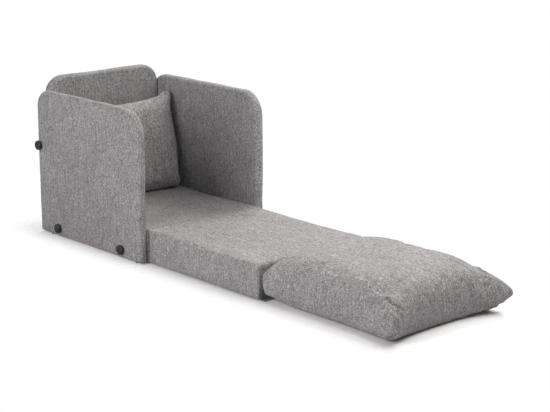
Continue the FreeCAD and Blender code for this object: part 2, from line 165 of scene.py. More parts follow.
def finishSurface(start, colour, roughness, normal, constants=None):
    shader = start.node("ShaderNodeBsdfPrincipled", {}, {
        "Base Color": colour, "Roughness": roughness, "Normal": normal, **(constants or {}),
    })
    start.node("ShaderNodeOutputMaterial", {}, {"Surface": shader})


def bump(start, height, distance, strength=1):
    return start.node("ShaderNodeBump", {}, {"Height": height, "Distance": distance, "Strength": strength})


def axesOf(start, output):
    where = start.node("ShaderNodeTexCoord", {}, {}, output)
    split = start.node("ShaderNodeSeparateXYZ", {}, {"Vector": where})
    return [Signal(start.tree, split.socket.node.outputs[axis]) for axis in range(3)]


def facing(start):
    # coordinates along the face: across, and up or lengthways, from the side that the surface faces most
    where = axesOf(start, "Object")
    away = [part.size() for part in axesOf(start, "Normal")]
    sideways = (away[0] > away[1]) * (away[0] > away[2])
    upwards = (away[2] > away[0]) * (away[2] > away[1])
    across = sideways * (where[1] - where[0]) + where[0]
    along = upwards * (where[1] - where[2]) + where[2]
    return across, along, where


weave = {
    "pitch": 0.0021,          # from one yarn to the next, metres
    "yarnRun": 0.0065,        # how far a yarn keeps its shade
    "yarnShare": 1.2,
    "slubWide": 0.0034,
    "slubRun": 0.013,
    # for upright and for level slubs: the noise where light and dark ones begin and are full, and their share
    "slubs": (((0.56, 0.72, 0.30), (0.44, 0.28, -0.26)), ((0.58, 0.74, 0.20), (0.42, 0.26, -0.16))),
    "streakWide": 0.0045,
    "streakRun": 0.075,       # long faint streaks in the warp
    "streakShare": 0.34,
    "knots": 330,
    "knotShare": 0.9,
    "clouds": 7,
    "cloudShare": 0.14,
    # where on the tone each shade lies, and the shade
    "shades": ((0.12, 0.105), (0.5, 0.300), (0.95, 0.640)),
    "tint": (1.0, 0.978, 0.985),
    # painted shade for seam grooves, hems and folds: its grey, and how much of it covers the fabric there
    "paintedShadeGrey": 0.04,
    "paintedShadeShare": 0.75,
    "bump": 0.0006,
}


def heatheredWeave(name):
    # plain weave of mixed light and dark yarns, with thick slubs both ways
    material, start = newMaterial(name)
    across, along, where = facing(start)
    place = point(start, *where)
    pitch = weave["pitch"]

    def yarns(side, length, seed):
        number = (side / pitch).floor()
        spot = point(start, number * 7.31 + seed, length / weave["yarnRun"], number * 3.17)
        return noiseAt(start, spot, 1, 1, 0.6), number

    warp, warpNumber = yarns(across, along, 0)
    weft, weftNumber = yarns(along, across, 51.7)
    over = ((warpNumber + weftNumber) * 0.5).fraction() * 2
    yarn = over * (warp - weft) + weft

    def slubs(side, length, seed):
        lane = (side / weave["slubWide"]).floor()
        return noiseAt(start, point(start, lane * 5.13 + seed, length / weave["slubRun"], lane * 2.71), 1, 2)

    lanes = slubs(across, along, 13.1), slubs(along, across, 87.9)
    fleck = sum(lane.smooth(low, full) * share
                for lane, parts in zip(lanes, weave["slubs"]) for low, full, share in parts)
    lane = (across / weave["streakWide"]).floor()
    streak = noiseAt(start, point(start, lane * 3.31, along / weave["streakRun"], lane * 1.13), 1, 1)
    knots = noiseAt(start, place, weave["knots"], 1)
    cloud = noiseAt(start, place, weave["clouds"], 2)
    tone = (yarn - 0.5) * weave["yarnShare"] + 0.5 + fleck + (cloud - 0.5) * weave["cloudShare"]
    tone = tone + (knots - 0.5) * weave["knotShare"] + (streak - 0.5) * weave["streakShare"]
    stops = [(spot, tuple(shade * part for part in weave["tint"])) for spot, shade in weave["shades"]]
    colour = start.node("ShaderNodeValToRGB", {"stops": stops}, {"Fac": tone})
    # painted shade: the fabric goes dark where the mesh marks seam grooves, hems and folds, in place of the
    # shade that falls in them
    seam = start.node("ShaderNodeAttribute", {"attribute_name": "seam"}, {}, "Fac")
    colour = (seam.smooth(0.1, 1) * weave["paintedShadeShare"]).blend(colour, grey(weave["paintedShadeGrey"]))

    def ridge(side):
        off = (side / pitch).fraction() - 0.5
        return 1 - off * off * 4

    height = over * (ridge(across) - ridge(along)) + ridge(along) + fleck * 1.4 + yarn * 0.5
    finishSurface(start, colour, yarn.between(0.95, 0.80), bump(start, height, weave["bump"], 0.7),
                  {"Sheen Weight": 0.12, "Sheen Roughness": 0.5, "Specular IOR Level": 0.25})
    return material


def mouldedPlastic(name, shade, roughness):
    material, start = newMaterial(name)
    where = placeOf(start)
    grain = noiseAt(start, where, 1400, 3, 0.6)
    smudge = noiseAt(start, where, 60, 2)
    colour = smudge.blend(grey(shade * 0.85), grey(shade * 1.2))
    finishSurface(start, colour, smudge.between(roughness - 0.06, roughness + 0.08),
                  bump(start, grain, 0.0001, 0.4))
    return material


def platedSteel(name):
    material, start = newMaterial(name)
    where = placeOf(start)
    blotch = noiseAt(start, where, 300, 3)
    colour = blotch.blend(grey(0.50), grey(0.66, (1, 0.99, 0.95)))
    scratch = bump(start, noiseAt(start, where, 900, 2), 0.00005)
    finishSurface(start, colour, blotch.between(0.28, 0.42), scratch, {"Metallic": 1.0})
    return material


def sawnWood(name, light, dark, grainWay):
    material, start = newMaterial(name)
    where = placeOf(start)
    stretched = start.node("ShaderNodeVectorMath", {"operation": "MULTIPLY"}, {0: where, 1: grainWay})
    rings = start.node("ShaderNodeTexWave", {"wave_type": "BANDS"}, {
        "Vector": stretched, "Scale": 3, "Distortion": 5, "Detail": 3,
    }, "Fac")
    fibre = noiseAt(start, stretched, 24, 4, 0.65)
    tone = rings * 0.5 + fibre * 0.5
    pores = bump(start, fibre, 0.0003, 0.5)
    finishSurface(start, tone.blend(dark, light), tone.between(0.55, 0.75), pores)
    return material


def foamMaterial(name, light, dark):
    material, start = newMaterial(name)
    where = placeOf(start)
    cells = start.node("ShaderNodeTexVoronoi", {}, {"Vector": where, "Scale": 420}, "Distance")
    pores = bump(start, cells, 0.0008, 0.6)
    finishSurface(start, cells.blend(dark, light), cells.between(0.98, 0.9), pores)
    return material


def clothMaterial(name, shade, pitch):
    # a fine plain cloth: lining, tape and webbing
    material, start = newMaterial(name)
    across, along, where = facing(start)
    ribs = ((across / pitch).fraction() - 0.5).size() + ((along / pitch).fraction() - 0.5).size()
    patch = noiseAt(start, point(start, *where), 90, 3)
    finishSurface(start, (ribs * 0.5 + patch * 0.5).blend(grey(shade * 0.7), grey(shade * 1.3)),
                  patch.between(0.8, 0.95), bump(start, ribs, pitch * 0.2, 0.6))
    return material


materials = {
    "woven_grey": heatheredWeave("heatheredWeave"),
    "foam": foamMaterial("seatFoam", grey(0.80, (1, 0.96, 0.84)), grey(0.55, (1, 0.93, 0.75))),
    "fibre_fill": foamMaterial("fibreFilling", grey(0.9), grey(0.7)),
    "frame_wood": sawnWood("pineAndPly", (0.74, 0.56, 0.36, 1), (0.50, 0.33, 0.18, 1), (1, 6, 6)),
    "lining_fabric": clothMaterial("blackLining", 0.02, 0.0012),
    "hinge_fabric": clothMaterial("hingeWebbing", 0.20, 0.0016),
    "zip_tape": clothMaterial("zipTape", 0.07, 0.0010),
    "slider_metal": platedSteel("platedSlider"),
    "glide_plastic": mouldedPlastic("glidePlastic", 0.012, 0.45),
    "knob_plastic": mouldedPlastic("knobPlastic", 0.014, 0.34),
    "zinc_steel": platedSteel("zincPlate"),
}
slotOf = {row["node"]: row["material_slot"] for row in frame["record"]["subparts"]}
for name, part in nodes.items():
    part.data.materials.clear()
    part.data.materials.append(materials[slotOf[name]])
print("materials ready:", len(materials))


def finishPiece(piece, node, body, stands=()):
    # material, place in the frame and what the piece stands for
    piece.data.materials.append(materials[slotOf[node]])
    for face in piece.data.polygons:
        face.use_smooth = True
    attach(piece, body)
    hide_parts(node, *stands)
    return piece


def newPiece(name, shape):
    bmesh.ops.recalc_face_normals(shape, faces=shape.faces)
    mesh = bpy.data.meshes.new(name)
    shape.to_mesh(mesh)
    shape.free()
    piece = bpy.data.objects.new(name, mesh)
    bpy.context.scene.collection.objects.link(piece)
    return piece


def spotsOf(piece, kind="co"):
    source = piece.data.vertices if kind == "co" else piece.data.vertex_normals
    flat = np.empty(len(source) * 3)
    source.foreach_get(kind, flat)
    return flat.reshape(-1, 3)


def moveTo(piece, spots):
    piece.data.vertices.foreach_set("co", np.ascontiguousarray(spots).ravel())
    piece.data.update()


def uneven(spots, scale, seed):
    # slow noise at every spot, about -1 to 1
    shift = Vector((seed, seed * 1.7, seed * 0.3))
    return np.array([noise.noise(Vector(spot) * scale + shift) for spot in spots]) * 1.6


def lumps(spots, waves):
    # noise of several sizes at every spot; each wave has a scale, a seed and a share
    return sum(share * uneven(spots, scale, seed) for scale, seed, share in waves)


def fadeIn(values, low, high):
    share = np.clip((values - low) / (high - low), 0, 1)
    return share * share * (3 - 2 * share)


def paintShade(piece, amounts):
    # painted shade: an attribute that darkens the fabric in its creases, seam grooves and hems, where shade
    # would fall
    mesh = piece.data
    if "seam" not in mesh.attributes:
        mesh.attributes.new("seam", "FLOAT", "POINT")
    values = np.empty(len(mesh.vertices))
    mesh.attributes["seam"].data.foreach_get("value", values)
    mesh.attributes["seam"].data.foreach_set("value", np.maximum(values, amounts))


def crease(piece, path, wide, deep, dark, lip, ends=(0, 1, 0)):
    # A fold pressed in along a path, with a raised lip on each side, or a ridge where deep is below 0. Dark
    # is the shade painted into the fold. Ends are its strength at the start, soon after it and at the end.
    spots, away = spotsOf(piece), spotsOf(piece, "vector")
    path = [np.array(stop) for stop in path]
    lengths = [np.linalg.norm(last - first) for first, last in zip(path, path[1:])]
    nearest, place, run = np.full(len(spots), 9.0), np.zeros(len(spots)), 0
    for first, last, length in zip(path, path[1:], lengths):
        share = np.clip((spots - first) @ (last - first) / length ** 2, 0, 1)
        gap = np.linalg.norm(spots - first - share[:, None] * (last - first), axis=1)
        closer = gap < nearest
        nearest[closer] = gap[closer]
        place[closer] = ((run + share * length) / sum(lengths))[closer]
        run += length
    strength = np.interp(place, (0, 0.2, 1), ends)
    fold = np.exp(-(nearest / wide) ** 2) * strength
    lips = np.exp(-((nearest - 1.8 * wide) / wide) ** 2) * strength
    moveTo(piece, spots + away * ((lips * lip - fold) * deep)[:, None])
    # painted shade in the fold, as strong as dark
    if dark:
        paintShade(piece, fold * dark)


# The outline of a panel or cushion is a rectangle with four rounded corners, counter-clockwise from the low
# one. Every inset of it has the same number of points, and the deepest closes on a line.
outline = {
    "cornerSteps": 10,
    "sideSteps": 40,
    "leastRound": 0.0004,
    "joined": 0.0006,         # points of the first and last ring nearer than this are one
}


def outlineAt(low, high, radii, inset, firm):
    # firm is how far in the corners stay parallel; further in they shrink towards the middle line
    half = min(high[0] - low[0], high[1] - low[1]) / 2
    left, right, bottom, top = low[0] + inset, high[0] - inset, low[1] + inset, high[1] - inset
    shrunk = []
    for radius in radii:
        radius = max(radius - min(inset, firm), outline["leastRound"])
        if inset > firm:
            radius *= max(0.0, 1 - (inset - firm) / (half - firm))
        shrunk.append(radius)
    centres = [
        (left + shrunk[0], bottom + shrunk[0]), (right - shrunk[1], bottom + shrunk[1]),
        (right - shrunk[2], top - shrunk[2]), (left + shrunk[3], top - shrunk[3]),
    ]
    arcs = []
    steps = outline["cornerSteps"]
    for corner, (x, y) in enumerate(centres):
        angles = [math.pi * (1 + corner / 2 + step / steps / 2) for step in range(steps + 1)]
        arcs.append([(x + shrunk[corner] * math.cos(a), y + shrunk[corner] * math.sin(a)) for a in angles])
    spots = []
    for arc, after in zip(arcs, arcs[1:] + arcs[:1]):
        spots += arc
        for step in range(1, outline["sideSteps"]):
            share = step / outline["sideSteps"]
            spots.append(tuple(here + (there - here) * share for here, there in zip(arc[-1], after[0])))
    return spots


def joinRings(shape, rings):
    for first, second in zip(rings, rings[1:]):
        for step in range(len(first)):
            after = (step + 1) % len(first)
            shape.faces.new((first[step], first[after], second[after], second[step]))


def closeEnds(shape, rings):
    shape.faces.new(list(reversed(rings[0])))
    shape.faces.new(rings[-1])


def ringShape(low, high, radii, profile, firm, lift):
    # A closed shape through rings of a profile of (inset, depth, painted shade); lift places a point of the
    # outline at a depth in the frame.
    shape = bmesh.new()
    # each point keeps how much shade is painted on it, for seam grooves, hems and folds
    seam = shape.verts.layers.float.new("seam")
    rings = []
    for inset, depth, mark in profile:
        ring = []
        for a, b in outlineAt(low, high, radii, inset, firm):
            corner = shape.verts.new(lift(a, b, depth))
            corner[seam] = mark
            ring.append(corner)
        rings.append(ring)
    joinRings(shape, rings)
    bmesh.ops.remove_doubles(shape, verts=rings[0] + rings[-1], dist=outline["joined"])
    return shape


def insetsTo(half, start, count=14):
    # insets from the rim to the middle line, close together near the rim
    return [start + (half - start) * (step / count) ** 1.6 for step in range(1, count + 1)]


def quarterTurn(roll, steps=6):
    # inset and depth round a rolled edge, from the face to the side
    angles = [math.pi / 2 * step / steps for step in range(steps + 1)]
    return [(roll * (1 - math.sin(angle)), roll * (1 - math.cos(angle)), 0) for angle in angles]


def panelProfile(thick, half, style):
    # from the middle of one broad face, over the rolled edge, to the middle of the other
    side = [(inset, 0, 0) for inset in reversed(insetsTo(half, style["roll"] + 2 * style["seamWide"]))]
    centre = style["roll"] + style["seamWide"]
    # the seam groove, with shade painted into it in step with its depth
    for place, deep in style["seamShape"]:
        side.append((centre + place * style["seamWide"], style["seamDeep"] * deep, deep * style["seamPaintedShade"]))
    side += quarterTurn(style["roll"])
    far = [(inset, thick - depth, mark) for inset, depth, mark in reversed(side)]
    return side + [(0, thick / 2, 0)] + far


panel = {
    "roll": 0.0165,
    "seamWide": 0.0016,
    "seamDeep": 0.0008,
    # how dark the shade painted into the seam groove is
    "seamPaintedShade": 0.55,
    "seamShape": ((1, 0), (0.45, 0.5), (0, 1), (-0.45, 0.5)),   # across the seam, and how deep there
    "footRound": 0.006,
    "uneven": 0.0016,
    "pull": 0.0012,          # how deep the washers press into the cover
    "pullWide": 0.030,
    "fill": 0.9,
}
arm = {**panel, "frontRound": 0.108, "rearRound": 0.080}
back = {**panel, "roll": 0.0140, "topRound": 0.086, "uneven": 0.0020}


def roughen(piece, style, seed):
    # hand-covered foam: slow unevenness, less of it near the rims, and calm under the washers
    spots, away = spotsOf(piece), spotsOf(piece, "vector")
    lift = lumps(spots, ((6, seed, 1), (17, seed + 5, 0.4))) * style["uneven"]
    pulled = np.zeros(len(spots))
    for name in nodes:
        if name.endswith("_knob"):
            low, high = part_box(name)
            gap = np.linalg.norm(spots - np.array((low + high) / 2), axis=1)
            pulled = np.maximum(pulled, np.exp(-(gap / style["pullWide"]) ** 2))
    lift = lift * (1 - pulled) - pulled * style["pull"]
    moveTo(piece, spots + away * lift[:, None])


def makeArm(side):
    low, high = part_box(f"{side}_arm_cover")
    radii = (arm["footRound"], arm["footRound"], arm["rearRound"], arm["frontRound"])
    half = min(high.y - low.y, high.z - low.z) / 2
    profile = panelProfile(high.x - low.x, half, arm)
    shape = ringShape((low.y, low.z), (high.y, high.z), radii, profile, arm["roll"],
                      lambda a, b, depth: (low.x + depth, a, b))
    piece = newPiece(f"{side}ArmCover", shape)
    roughen(piece, arm, 3 if side == "left" else 11)
    finishPiece(piece, f"{side}_arm_cover", "chair")


def makeBack():
    low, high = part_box("back_cover")
    radii = (back["footRound"], back["footRound"], back["topRound"], back["topRound"])
    half = min(high.x - low.x, high.z - low.z) / 2
    profile = panelProfile(high.y - low.y, half, back)
    shape = ringShape((low.x, low.z), (high.x, high.z), radii, profile, back["roll"],
                      lambda a, b, depth: (a, low.y + depth, b))
    piece = newPiece("backCover", shape)
    roughen(piece, back, 5)
    finishPiece(piece, "back_cover", "chair")


for side in ("left", "right"):
    makeArm(side)
makeBack()
print("panels made")


section = {
    "cornerRound": 0.011,
    "roll": 0.015,
    "hingeRoll": 0.22,       # share of the roll that is left at a hinge
    "hingeReach": 0.045,
    "sag": 0.007,            # how much rounder the long edges are in the middle
    "sagWide": 0.020,
    "endSag": 0.6,           # the free end's share of that
    "endWide": 0.022,
    "footRoll": 0.004,
    "hem": 0.022,
    "hemDeep": 0.0015,
    "uneven": 0.0014,
    "mostLift": 0.001,
    "clear": 0.0001,         # the tops meet when it is folded
    "fill": 0.8,
}


def makeSection(name, body, hingeAtRear):
    style = section
    low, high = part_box(f"{name}_cover")
    tall = high.z - low.z
    hemLevel = tall - style["hemDeep"]
    half = min(high.x - low.x, high.y - low.y) / 2
    profile = [(inset, 0, 0) for inset in reversed(insetsTo(half, style["roll"] + 0.004))]
    profile += quarterTurn(style["roll"])
    profile += [(0, tall * share, 0) for share in (0.2, 0.4, 0.6, 0.8)]
    foot = reversed(quarterTurn(style["footRoll"], 3))
    profile += [(inset, tall - depth, 0) for inset, depth, mark in foot]
    # the hem, with shade painted into its fold
    profile += [(style["hem"], tall, 0), (style["hem"] + 0.001, hemLevel, 0.8)]
    profile += [(inset, hemLevel, 0) for inset in insetsTo(half, style["hem"] + 0.003, 5)]
    shape = ringShape((low.x, low.y), (high.x, high.y), [style["cornerRound"]] * 4, profile, style["roll"],
                      lambda a, b, depth: (a, b, high.z - depth))
    piece = newPiece(f"{name}Cover", shape)

    spots = spotsOf(piece)
    # the edge at the hinge is folded tight, so that the two sections meet in a fine line
    fold, inward = (high.y, -1) if hingeAtRear else (low.y, 1)
    off = np.abs(spots[:, 1] - fold)
    drop = high.z - spots[:, 2]
    tight = style["hingeRoll"] + (1 - style["hingeRoll"]) * fadeIn(off, style["roll"], style["hingeReach"])
    spots[:, 1] = np.where(off < style["hingeReach"], fold + inward * off * tight, spots[:, 1])
    spots[:, 2] = np.where(drop < style["roll"] * 1.01, high.z - drop * tight, spots[:, 2])
    # the long edges are rounder halfway
    centre = (low + high) / 2
    lengthwise = np.clip(np.abs(spots[:, 1] - centre.y) / (high.y - centre.y), 0, 1)
    nearTop = fadeIn(spots[:, 2], low.z + 0.03, high.z - 0.01)
    edge = np.exp(-((high.x - np.abs(spots[:, 0])) / style["sagWide"]) ** 2)
    spots[:, 2] -= style["sag"] * edge * (1 - lengthwise ** 2) * nearTop
    if hingeAtRear:
        # its front end is free, and rounder too
        end = np.exp(-(np.abs(spots[:, 1] - low.y) / style["endWide"]) ** 2)
        spots[:, 2] -= style["sag"] * style["endSag"] * end * nearTop
    moveTo(piece, spots)
    away = spotsOf(piece, "vector")
    lift = lumps(spots, ((5, 2 if hingeAtRear else 8, 1), (15, 4, 0.5))) * style["uneven"]
    lift *= fadeIn(np.abs(spots[:, 1] - fold), 0.003, 0.03) * fadeIn(spots[:, 2], low.z, low.z + 0.02)
    spots += away * np.minimum(lift, style["mostLift"])[:, None]
    spots[:, 2] = np.minimum(spots[:, 2], high.z - style["clear"])
    moveTo(piece, spots)
    finishPiece(piece, f"{name}_cover", body)


makeSection("base", "chair", False)
makeSection("middle", "middle_section", True)
print("sections made")


block = {
    "clear": 0.006,           # how far it stays from the cover
    "clearInSection": 0.010,
    "round": 0.012,
    # corner radii, counter-clockwise from the low one
    "armCorners": (0.013, 0.013, 0.082, 0.116),
    "backCorners": (0.013, 0.013, 0.099, 0.099),
    "sectionCorners": (0.013, 0.013, 0.013, 0.013),
    "fill": 0.9,
}


def makeBlock(name, node, body, thickAxis, radii, clear):
    # a block of foam with softly cut edges, inside its cover
    low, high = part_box(node)
    low, high = low + Vector([clear] * 3), high - Vector([clear] * 3)
    wide, tall = [axis for axis in range(3) if axis != thickAxis]
    thick = high[thickAxis] - low[thickAxis]
    half = min(high[wide] - low[wide], high[tall] - low[tall]) / 2
    side = [(half, 0, 0)] + quarterTurn(block["round"], 4)
    profile = side + [(inset, thick - depth, 0) for inset, depth, mark in reversed(side)]

    def lift(a, b, depth):
        spot = [0, 0, 0]
        spot[wide], spot[tall], spot[thickAxis] = a, b, low[thickAxis] + depth
        return spot

    shape = ringShape((low[wide], low[tall]), (high[wide], high[tall]), radii, profile, block["round"], lift)
    finishPiece(newPiece(name, shape), node, body)


for side in ("left", "right"):
    makeBlock(f"{side}ArmFoam", f"{side}_arm_foam", "chair", 0, block["armCorners"], block["clear"])
makeBlock("backFoam", "back_foam", "chair", 1, block["backCorners"], block["clear"])
for part, body in (("base", "chair"), ("middle", "middle_section")):
    makeBlock(f"{part}Foam", f"{part}_foam", body, 2, block["sectionCorners"], block["clearInSection"])
print("foams made")


def applied(piece):
    graph = bpy.context.evaluated_depsgraph_get()
    graph.update()
    before = piece.data
    mesh = bpy.data.meshes.new_from_object(piece.evaluated_get(graph), depsgraph=graph)
    piece.modifiers.clear()
    piece.data = mesh
    bpy.data.meshes.remove(before)


def remeshed(piece, voxel):
    # the same form in even faces
    modifier = piece.modifiers.new("even", "REMESH")
    modifier.mode = "VOXEL"
    modifier.voxel_size = voxel
    applied(piece)


def subdivided(piece):
    modifier = piece.modifiers.new("fine", "SUBSURF")
    modifier.levels = modifier.render_levels = 1
    applied(piece)


filling = {
    "pressure": 4,
    "stiff": 12,
    "bend": 0.5,
    "mass": 0.3,
    "quality": 4,
    "frames": 16,
}


def puffed(piece, cap):
    # blows the cover up like a filled cloth bag, moves it no further than a cap, and keeps the result
    start = spotsOf(piece)
    cloth = piece.modifiers.new("filling", "CLOTH")
    settings = cloth.settings
    settings.use_pressure = True
    settings.uniform_pressure_force = filling["pressure"]
    settings.quality = filling["quality"]
    settings.mass = filling["mass"]
    settings.tension_stiffness = settings.compression_stiffness = filling["stiff"]
    settings.shear_stiffness = filling["stiff"] / 2
    settings.bending_stiffness = filling["bend"]
    settings.effector_weights.gravity = 0
    cloth.point_cache.frame_start = 1
    cloth.point_cache.frame_end = filling["frames"]
    for step in range(1, filling["frames"] + 1):
        bpy.context.scene.frame_set(step)
    applied(piece)
    bpy.context.scene.frame_set(1)
    moved = spotsOf(piece) - start
    length = np.maximum(np.linalg.norm(moved, axis=1), 0.00001)
    moveTo(piece, start + moved * np.minimum(1, cap / length)[:, None])


footCushion = {
    # inset and height from the floor up the side and over the crown
    "edge": (
        (0.026, 0.000), (0.014, 0.005), (0.006, 0.018), (0.001, 0.042), (0.000, 0.070), (0.002, 0.098),
        (0.006, 0.125), (0.013, 0.149), (0.025, 0.168), (0.042, 0.183), (0.066, 0.194), (0.100, 0.199),
        (0.150, 0.201), (0.220, 0.202),
    ),
    "top": 0.203,
    "cornerRound": (0.044, 0.044, 0.018, 0.018),
    "cornerFirm": 0.03,
    "bow": 0.010,
    # the rear wall stands upright against the middle section
    "wallUpright": 0.7,
    "wallDeep": 0.06,
    "wallLow": (0.06, 0.10),
    "wallHigh": (0.140, 0.180),
    "wallEnds": (0.17, 0.28),
    "earReach": (0.062, 0.102),  # left and right
    "earWay": (0.60, 0.80),
    "earWide": 0.20,
    "earLevel": 0.080,
    "earFades": (0.055, 0.095),  # below and above that level
    "pinch": (0.12, 0.42),       # the same
    "rearEar": (0.10, -0.02),
    "rearPinch": 0.36,
    # how much lower the crown is at the front and at the rear, and where that begins and is full
    "frontFall": 0.10,
    "frontFades": (0.86, 1.04),
    "rearFall": 0.05,
    "rearFades": (-0.62, -0.42),
    "crownFades": (0.08, 0.17),
    "smaller": 0.003,
    "voxel": 0.009,
    "cap": 0.008,
    "waves": ((6, 21, 1), (16, 33, 0.5), (34, 40, 0.3)),
    "uneven": 0.0020,
    # Folds of the right half; the left one has the same. Each has its path, how wide and deep it is, its
    # painted shade, its lip, and where it isn't 0, 1 and 0, its strength at the start, soon after it and at
    # the end.
    "creases": (
        # the pucker above each front ear, with the folds that run from it
        (((0.254, -1.012, 0.158), (0.259, -1.036, 0.146), (0.244, -1.066, 0.132)),
         0.0085, 0.013, 0.75, 0.35, (0.7, 1, 0.7)),
        (((0.256, -1.005, 0.160), (0.276, -0.905, 0.148)), 0.009, -0.0035, 0, 0.35, (1, 1, 0)),
        (((0.262, -1.010, 0.150), (0.287, -0.930, 0.132)), 0.008, 0.0035, 0.2, 0.35, (1, 1, 0)),
        (((0.240, -1.070, 0.130), (0.160, -1.052, 0.140)), 0.008, -0.0035, 0, 0.35, (1, 1, 0)),
        (((0.240, -1.075, 0.120), (0.180, -1.064, 0.120)), 0.008, 0.0030, 0.2, 0.35, (1, 1, 0)),
        (((0.270, -1.045, 0.138), (0.310, -1.080, 0.070)), 0.006, 0.0030, 0.25, 0.6, (1, 1, 0.2)),
        (((0.318, -1.020, 0.128), (0.300, -0.990, 0.035)), 0.008, 0.0035, 0.2, 0.6),
        (((0.262, -1.082, 0.128), (0.255, -1.075, 0.035)), 0.008, 0.0035, 0.2, 0.6),
        (((0.305, -1.085, 0.058), (0.285, -1.098, 0.054)), 0.0045, 0.004, 0.9, 0.5),
        (((0.160, -1.062, 0.022), (0.290, -1.085, 0.034), (0.296, -0.930, 0.022)),
         0.006, 0.006, 0.9, 0.7, (0.1, 1, 0.1)),
        # soft pulls that fan out from the corner
        (((0.285, -1.050, 0.150), (0.172, -0.930, 0.186)), 0.016, 0.0030, 0.1, 0.5),
        (((0.285, -1.050, 0.150), (0.196, -0.990, 0.192)), 0.016, 0.0025, 0.1, 0.5),
        (((0.285, -1.050, 0.150), (0.216, -1.040, 0.176)), 0.016, 0.0020, 0.1, 0.5),
        # tucks at the rear corner
        (((0.292, -0.372, 0.122), (0.255, -0.395, 0.150)), 0.010, 0.007, 0.4, 0.5, (1, 1, 0)),
        (((0.290, -0.378, 0.018), (0.298, -0.430, 0.030)), 0.008, 0.008, 0.8, 0.6, (1, 1, 0)),
    ),
    "rearGap": 0.0015,
    "zipLevel": 0.062,
    "zipBand": 0.012,
    "zipEnds": (0.214, 0.230),
    "zipSunk": 0.0040,
    "widest": 0.3022,            # between the arms when folded
    "armsEnd": (-1.092, -1.054),
    "beyondArms": 0.05,
    "keep": 0.90,
    "fill": 0.7,
}


def footForm(low, high):
    style = footCushion
    half = min(high[0] - low[0], high[1] - low[1]) / 2
    profile = [(half, 0, 0), (half * 0.6, 0, 0), (half * 0.3, 0, 0)]
    profile += [(inset, level, 0) for inset, level in style["edge"]] + [(half, style["top"], 0)]
    shape = ringShape(low, high, style["cornerRound"], profile, style["cornerFirm"],
                      lambda a, b, depth: (a, b, depth))
    piece = newPiece("footCover", shape)
    spots = spotsOf(piece)
    centre, reach = (np.array(low) + high) / 2, (np.array(high) - low) / 2
    flat = (spots[:, :2] - centre) / reach
    bowed = 1 - np.clip(np.abs(flat[:, ::-1]), 0, 1) ** 2
    spots[:, :2] -= flat ** 3 * bowed * style["bow"]
    gap = high[1] - spots[:, 1]
    upright = (1 - fadeIn(spots[:, 2], *style["wallHigh"])) * fadeIn(spots[:, 2], *style["wallLow"])
    upright = upright * (gap < style["wallDeep"]) * (1 - fadeIn(np.abs(spots[:, 0]), *style["wallEnds"]))
    spots[:, 1] = high[1] - gap * (1 - style["wallUpright"] * upright)
    for x in (-1, 1):
        for y in (-1, 1):
            corner = centre + reach * (x, y)
            near = np.clip(1 - np.linalg.norm(spots[:, :2] - corner, axis=1) / style["earWide"], 0, 1) ** 1.6
            off = spots[:, 2] - style["earLevel"]
            level = np.exp(-(off / np.where(off < 0, *style["earFades"])) ** 2)
            out = np.array((x, y)) * (style["earWay"] if y < 0 else style["rearEar"])
            pinch = np.where(off < 0, *style["pinch"]) if y < 0 else style["rearPinch"]
            spots[:, :2] += out * (style["earReach"][max(x, 0)] * near * (0.08 + 0.92 * level))[:, None]
            spots[:, 2] = style["earLevel"] + (spots[:, 2] - style["earLevel"]) * (1 - pinch * near)
    fall = style["frontFall"] * fadeIn(-spots[:, 1], *style["frontFades"])
    fall += style["rearFall"] * fadeIn(spots[:, 1], *style["rearFades"])
    spots[:, 2] *= 1 - fall * fadeIn(spots[:, 2], *style["crownFades"])
    moveTo(piece, spots)
    return piece


def makeFoot():
    style = footCushion
    low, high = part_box("foot_cover")
    less = style["smaller"]
    piece = footForm((low.x + less, low.y + less), (high.x - less, high.y - less))
    remeshed(piece, style["voxel"])
    puffed(piece, style["cap"])
    subdivided(piece)
    spots, away = spotsOf(piece), spotsOf(piece, "vector")
    lift = lumps(spots, style["waves"]) * style["uneven"]
    moveTo(piece, spots + away * (lift * fadeIn(spots[:, 2], 0.0, 0.03))[:, None])
    for side in (-1, 1):
        for path, *rest in style["creases"]:
            crease(piece, [(x * side, y, z) for x, y, z in path], *rest)
    spots = spotsOf(piece)
    spots[:, 2] = np.maximum(spots[:, 2], 0.0002)
    band = np.exp(-((spots[:, 2] - style["zipLevel"]) / style["zipBand"]) ** 4)
    band *= 1 - fadeIn(np.abs(spots[:, 0]), *style["zipEnds"])
    spots[:, 1] = np.minimum(spots[:, 1], high.y - style["rearGap"] - band * style["zipSunk"])
    limit = style["widest"] + (1 - fadeIn(spots[:, 1], *style["armsEnd"])) * style["beyondArms"]
    spots[:, 0] = np.clip(spots[:, 0], -limit, limit)
    moveTo(piece, spots)
    finishPiece(piece, "foot_cover", "foot_cushion", ["foot_core"])
    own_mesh(piece)
    return piece


footCover = makeFoot()
print("foot cushion made")


